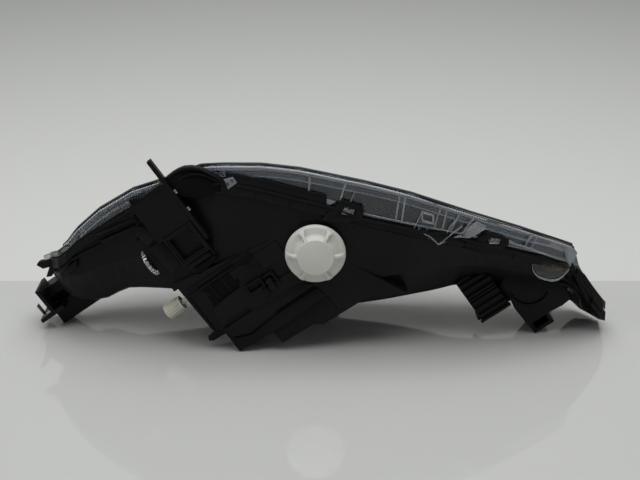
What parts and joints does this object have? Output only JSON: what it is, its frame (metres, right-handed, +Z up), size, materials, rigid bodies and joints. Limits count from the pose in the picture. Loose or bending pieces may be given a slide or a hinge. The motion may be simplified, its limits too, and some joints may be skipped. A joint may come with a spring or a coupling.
{
  "type": "car headlight assembly",
  "caption": "Car headlight assembly: black moulded housing, clear wrap-around lens, screw-off bulb access cap, hand aim adjusters, mounting tabs and working inner optics",
  "frame": {"origin": "centre of the footprint at the height of the surface the lamp rests on, lying on its three rear feet with the lens up", "axes": "+X along the lamp towards the fender end, -Y is the car's underside with the bulb access cap, +Z up"},
  "size_m": [0.7242, 0.214, 0.2467],
  "materials": {
    "black_housing_plastic": "satin moulded",
    "clear_lens": "polished clear, hard coated",
    "black_rubber": "matt",
    "black_bezel": "fine grain",
    "grey_plastic": "satin",
    "bright_metallised": "vacuum metallised",
    "amber_plastic": "clear amber",
    "natural_nylon": "natural",
    "cap_plastic": "satin moulded",
    "plated_steel": "zinc plated",
    "circuit_board": "solder mask"
  },
  "bodies": {
    "lamp": {"housing": "black_housing_plastic", "outer_lens": "clear_lens", "lens_seal": "black_rubber", "bezel": "black_bezel", "turn_signal_reflector": "bright_metallised", "side_marker_reflector": "amber_plastic", "drl_light_guide": "clear_lens", "drl_led_board": "circuit_board", "turn_signal_gasket": "black_rubber", "side_marker_gasket": "black_rubber", "pivot_stud": "plated_steel", "upper_mounting_bracket": "black_housing_plastic", "bracket_screw_1": "plated_steel", "bracket_screw_2": "plated_steel", "inner_tab_bushing": "plated_steel", "outer_tab_bushing": "plated_steel", "tab_spring_clip": "plated_steel", "vent_cap_1": "black_rubber", "vent_cap_2": "black_rubber", "harness_connector": "black_housing_plastic"},
    "cap_ring": {"cap_seal": "black_rubber"},
    "cap": {"bulb_access_cap": "cap_plastic"},
    "vertical_knob": {"vertical_aim_knob": "natural_nylon"},
    "vertical_gear": {"vertical_aim_gear": "natural_nylon"},
    "vertical_stud": {"vertical_aim_stud": "plated_steel"},
    "star_wheel": {"screwdriver_star_wheel": "natural_nylon"},
    "transfer_shaft": {"aim_transfer_shaft": "plated_steel"},
    "horizontal_knob": {"horizontal_aim_knob": "natural_nylon"},
    "horizontal_stud": {"horizontal_aim_stud": "plated_steel"},
    "aim_pivot": {"pivot_ball_socket": "natural_nylon"},
    "carrier": {"reflector_carrier": "grey_plastic", "low_beam_reflector": "bright_metallised", "high_beam_reflector": "bright_metallised", "vertical_ball_socket": "natural_nylon", "horizontal_ball_socket": "natural_nylon", "low_reflector_screw_1": "plated_steel", "low_reflector_screw_2": "plated_steel", "low_reflector_screw_3": "plated_steel", "high_reflector_screw_1": "plated_steel", "high_reflector_screw_2": "plated_steel", "high_reflector_screw_3": "plated_steel"},
    "low_bulb": {"low_beam_bulb": "clear_lens", "low_beam_bulb_base": "grey_plastic"},
    "high_bulb": {"high_beam_bulb": "clear_lens", "high_beam_bulb_base": "grey_plastic"},
    "turn_bulb": {"turn_signal_bulb": "amber_plastic", "turn_signal_socket": "grey_plastic"},
    "marker_bulb": {"side_marker_bulb": "amber_plastic", "side_marker_socket": "grey_plastic"}
  },
  "joints": [
    {"name": "cap_lift", "type": "slide", "parent": "lamp", "child": "cap_ring", "axis": [0, -1, 0], "range_m": [0, 0.0336]},
    {"name": "cap_twist", "type": "hinge", "parent": "cap_ring", "child": "cap", "pos_m": [-0.0055, -0.09, 0.133], "axis": [0, -1, 0], "range_deg": [0, 504]},
    {"name": "vertical_aim_turn", "type": "hinge", "parent": "lamp", "child": "vertical_knob", "pos_m": [-0.1811, -0.049, 0.04593], "axis": [0.8192, 0, 0.5736], "range_deg": [-1440, 1440]},
    {"name": "vertical_gear_turn", "type": "hinge", "parent": "lamp", "child": "vertical_gear", "pos_m": [-0.13523, -0.063, 0.07805], "axis": [-0.5736, 0, 0.8192], "range_deg": [-1440, 1440]},
    {"name": "vertical_stud_travel", "type": "slide", "parent": "lamp", "child": "vertical_stud", "axis": [-0.5736, 0, 0.8192], "range_m": [-0.006, 0.006]},
    {"name": "star_wheel_turn", "type": "hinge", "parent": "lamp", "child": "star_wheel", "pos_m": [-0.20622, -0.069, 0.11319], "axis": [0.8192, 0, 0.5736], "range_deg": [-1440, 1440]},
    {"name": "transfer_shaft_turn", "type": "hinge", "parent": "lamp", "child": "transfer_shaft", "pos_m": [-0.17861, -0.0615, 0.09468], "axis": [-0.5736, 0, 0.8192], "range_deg": [-1440, 1440]},
    {"name": "horizontal_aim_turn", "type": "hinge", "parent": "lamp", "child": "horizontal_knob", "pos_m": [0.01909, 0.058, 0.01459], "axis": [-0.5736, 0, 0.8192], "range_deg": [-720, 720]},
    {"name": "horizontal_stud_travel", "type": "slide", "parent": "lamp", "child": "horizontal_stud", "axis": [-0.5736, 0, 0.8192], "range_m": [-0.003, 0.003]},
    {"name": "horizontal_aim_swing", "type": "hinge", "parent": "lamp", "child": "aim_pivot", "pos_m": [-0.11939, 0.058, 0.05545], "axis": [0, 1, 0], "range_deg": [-1.91, 1.91]},
    {"name": "vertical_aim_tilt", "type": "hinge", "parent": "aim_pivot", "child": "carrier", "pos_m": [-0.11939, 0.058, 0.05545], "axis": [0.8192, 0, 0.5736], "range_deg": [-2.84, 2.84]},
    {"name": "low_bulb_twist", "type": "hinge", "parent": "carrier", "child": "low_bulb", "pos_m": [-0.00109, -0.06, 0.12709], "axis": [0, -1, 0], "range_deg": [0, 45]},
    {"name": "high_bulb_twist", "type": "hinge", "parent": "carrier", "child": "high_bulb", "pos_m": [-0.07111, 0, 0.04054], "axis": [0.5736, 0, -0.8192], "range_deg": [0, 45]},
    {"name": "turn_socket_twist", "type": "hinge", "parent": "lamp", "child": "turn_bulb", "pos_m": [-0.22623, 0, 0.07234], "axis": [0.5736, 0, -0.8192], "range_deg": [0, 45]},
    {"name": "marker_socket_twist", "type": "hinge", "parent": "lamp", "child": "marker_bulb", "pos_m": [0.30765, -0.018, 0.06251], "axis": [0.5736, 0, -0.8192], "range_deg": [0, 45]}
  ],
  "couplings": [
    {"joint": "cap_lift", "follows": "cap_twist", "m_per_rad": 0.0038197},
    {"joint": "vertical_aim_turn", "follows": "vertical_aim_tilt", "ratio": -506.84},
    {"joint": "vertical_gear_turn", "follows": "vertical_aim_tilt", "ratio": 506.84},
    {"joint": "vertical_stud_travel", "follows": "vertical_aim_tilt", "m_per_rad": -0.121},
    {"joint": "star_wheel_turn", "follows": "vertical_aim_tilt", "ratio": -506.84},
    {"joint": "transfer_shaft_turn", "follows": "vertical_aim_tilt", "ratio": 506.84},
    {"joint": "horizontal_aim_turn", "follows": "horizontal_aim_swing", "ratio": -376.99},
    {"joint": "horizontal_stud_travel", "follows": "horizontal_aim_swing", "m_per_rad": -0.09}
  ]
}
